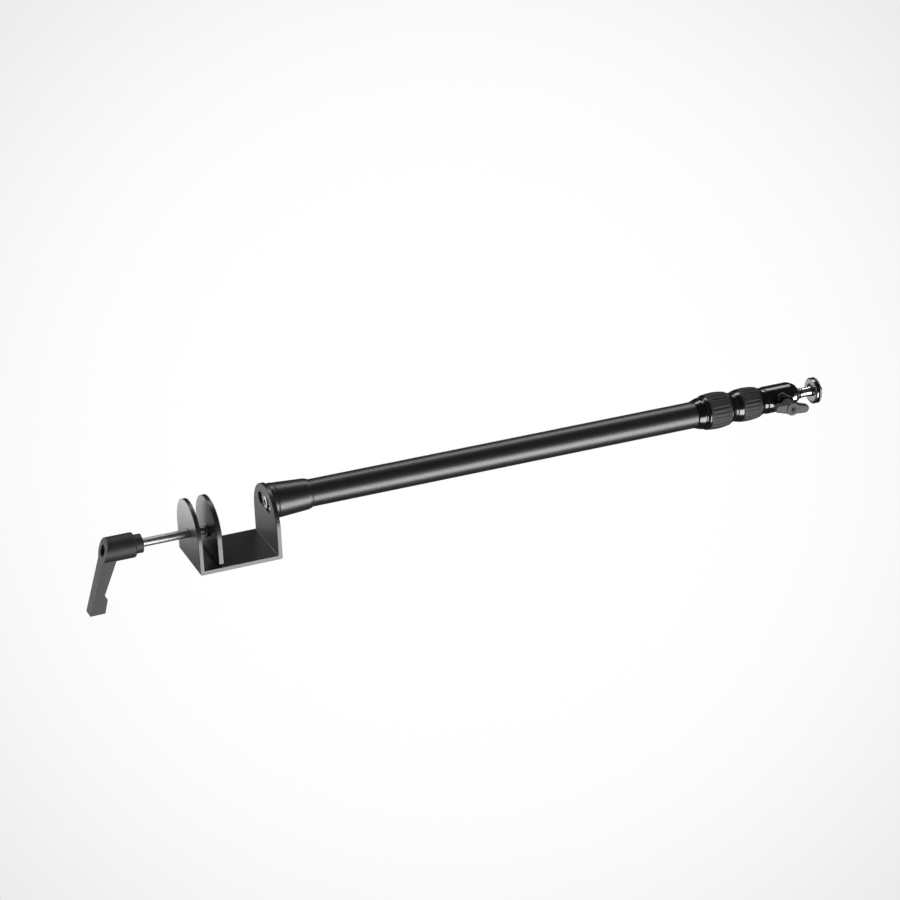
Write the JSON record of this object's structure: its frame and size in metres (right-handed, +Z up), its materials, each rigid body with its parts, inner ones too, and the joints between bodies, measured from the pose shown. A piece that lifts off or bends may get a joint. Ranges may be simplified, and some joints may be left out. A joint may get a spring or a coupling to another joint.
{
  "type": "desk mount pole",
  "caption": "Clamp-on telescopic desk pole with a screw jaw, indexing lever, twist-lock collars and a small ball head with a camera screw.",
  "frame": {"origin": "where the clamp screw's axis meets the upper ear's gripping face, which rests on the desk top", "axes": "+Z up along the pole, +X towards the bracket's web, -Y towards the wing knob"},
  "size_m": [0.0911, 0.0638, 0.7413],
  "materials": {
    "bracket": "satin black powder coat",
    "clamp_nut": "bright zinc plate",
    "base_bolt": "polished",
    "base_plug": "bright zinc plate",
    "base_sleeve": "satin black powder coat",
    "outer_tube": "satin black anodised",
    "lower_ferrule": "gloss black",
    "lower_collet": "smooth",
    "jaw_plate": "satin black powder coat",
    "jaw_pad": "matte ribbed",
    "thrust_washer": "bright zinc plate",
    "jaw_clip": "black nickel",
    "clamp_screw": "bright zinc plate",
    "lever_insert": "black nickel",
    "lever_screw": "black nickel",
    "lever_spring": "bright zinc plate",
    "lever": "textured glass-filled nylon",
    "lower_collar": "gloss black",
    "lower_grip": "matte ribbed",
    "middle_tube": "satin black anodised",
    "middle_bush": "smooth",
    "upper_ferrule": "gloss black",
    "upper_collet": "smooth",
    "upper_collar": "gloss black",
    "upper_grip": "matte ribbed",
    "inner_tube": "satin black anodised",
    "inner_bush": "smooth",
    "top_fitting": "gloss black",
    "head_stud": "bright zinc plate",
    "head_housing": "gloss black",
    "ball_seat": "smooth",
    "ball": "black nickel",
    "ball_stem": "polished",
    "platform": "black nickel",
    "camera_stud": "bright zinc plate",
    "lock_disc": "black nickel",
    "platform_pad": "matte ribbed",
    "wing_knob": "textured glass-filled nylon",
    "knob_stud": "bright zinc plate",
    "knob_screw": "black nickel"
  },
  "bodies": {
    "base": {"bracket": "bracket", "clamp_nut": "clamp_nut", "base_bolt": "base_bolt", "base_plug": "base_plug", "base_sleeve": "base_sleeve", "outer_tube": "outer_tube", "lower_ferrule": "lower_ferrule", "lower_collet": "lower_collet"},
    "jaw": {"jaw_plate": "jaw_plate", "jaw_pad": "jaw_pad", "thrust_washer": "thrust_washer", "jaw_clip": "jaw_clip"},
    "screw": {"clamp_screw": "clamp_screw", "lever_insert": "lever_insert", "lever_screw": "lever_screw"},
    "index": {"lever_spring": "lever_spring"},
    "lever": {"lever": "lever"},
    "lower_collar": {"lower_collar": "lower_collar", "lower_grip": "lower_grip"},
    "middle_section": {"middle_tube": "middle_tube", "middle_bush": "middle_bush", "upper_ferrule": "upper_ferrule", "upper_collet": "upper_collet"},
    "upper_collar": {"upper_collar": "upper_collar", "upper_grip": "upper_grip"},
    "inner_section": {"inner_tube": "inner_tube", "inner_bush": "inner_bush", "top_fitting": "top_fitting", "head_stud": "head_stud", "head_housing": "head_housing"},
    "ball_seat": {"ball_seat": "ball_seat"},
    "ball": {"ball": "ball"},
    "stem": {"ball_stem": "ball_stem", "platform": "platform", "camera_stud": "camera_stud"},
    "lock_disc": {"lock_disc": "lock_disc", "platform_pad": "platform_pad"},
    "knob": {"wing_knob": "wing_knob", "knob_stud": "knob_stud", "knob_screw": "knob_screw"}
  },
  "joints": [
    {"name": "jaw_slide", "type": "slide", "parent": "base", "child": "jaw", "axis": [0, 0, 1], "range_m": [-0.0045, 0.041]},
    {"name": "screw_turn", "type": "hinge", "parent": "jaw", "child": "screw", "pos_m": [0, 0, -0.1], "axis": [0, 0, 1], "range_deg": [-1300, 11850]},
    {"name": "lever_index", "type": "hinge", "parent": "screw", "child": "index", "pos_m": [0, 0, -0.132], "axis": [0, 0, 1], "continuous": true},
    {"name": "lever_lift", "type": "slide", "parent": "index", "child": "lever", "axis": [0, 0, -1], "range_m": [0, 0.0035], "stiffness_N_per_m": 400, "springref_m": -0.006, "deforming": ["lever_spring"]},
    {"name": "lower_collar_turn", "type": "hinge", "parent": "base", "child": "lower_collar", "pos_m": [-0.015, 0, 0.455], "axis": [0, 0, 1], "range_deg": [0, 180]},
    {"name": "middle_slide", "type": "slide", "parent": "base", "child": "middle_section", "axis": [0, 0, 1], "range_m": [0, 0.35]},
    {"name": "upper_collar_turn", "type": "hinge", "parent": "middle_section", "child": "upper_collar", "pos_m": [-0.015, 0, 0.49], "axis": [0, 0, 1], "range_deg": [0, 180]},
    {"name": "inner_slide", "type": "slide", "parent": "middle_section", "child": "inner_section", "axis": [0, 0, 1], "range_m": [0, 0.35]},
    {"name": "ball_pan", "type": "hinge", "parent": "inner_section", "child": "ball_seat", "pos_m": [-0.015, 0, 0.5386], "axis": [0, 0, 1], "continuous": true},
    {"name": "ball_tilt", "type": "hinge", "parent": "ball_seat", "child": "ball", "pos_m": [-0.015, 0, 0.5386], "axis": [1, 0, 0], "range_deg": [-30, 30]},
    {"name": "ball_spin", "type": "hinge", "parent": "ball", "child": "stem", "pos_m": [-0.015, 0, 0.5386], "axis": [0, 0, 1], "continuous": true},
    {"name": "lock_disc_turn", "type": "hinge", "parent": "stem", "child": "lock_disc", "pos_m": [-0.015, 0, 0.5642], "axis": [0, 0, 1], "range_deg": [0, 270]},
    {"name": "wing_knob_turn", "type": "hinge", "parent": "inner_section", "child": "knob", "pos_m": [-0.015, -0.026, 0.5226], "axis": [0, -1, 0], "range_deg": [0, 360]}
  ],
  "couplings": [
    {"joint": "screw_turn", "follows": "jaw_slide", "rad_per_m": 5026.5}
  ]
}
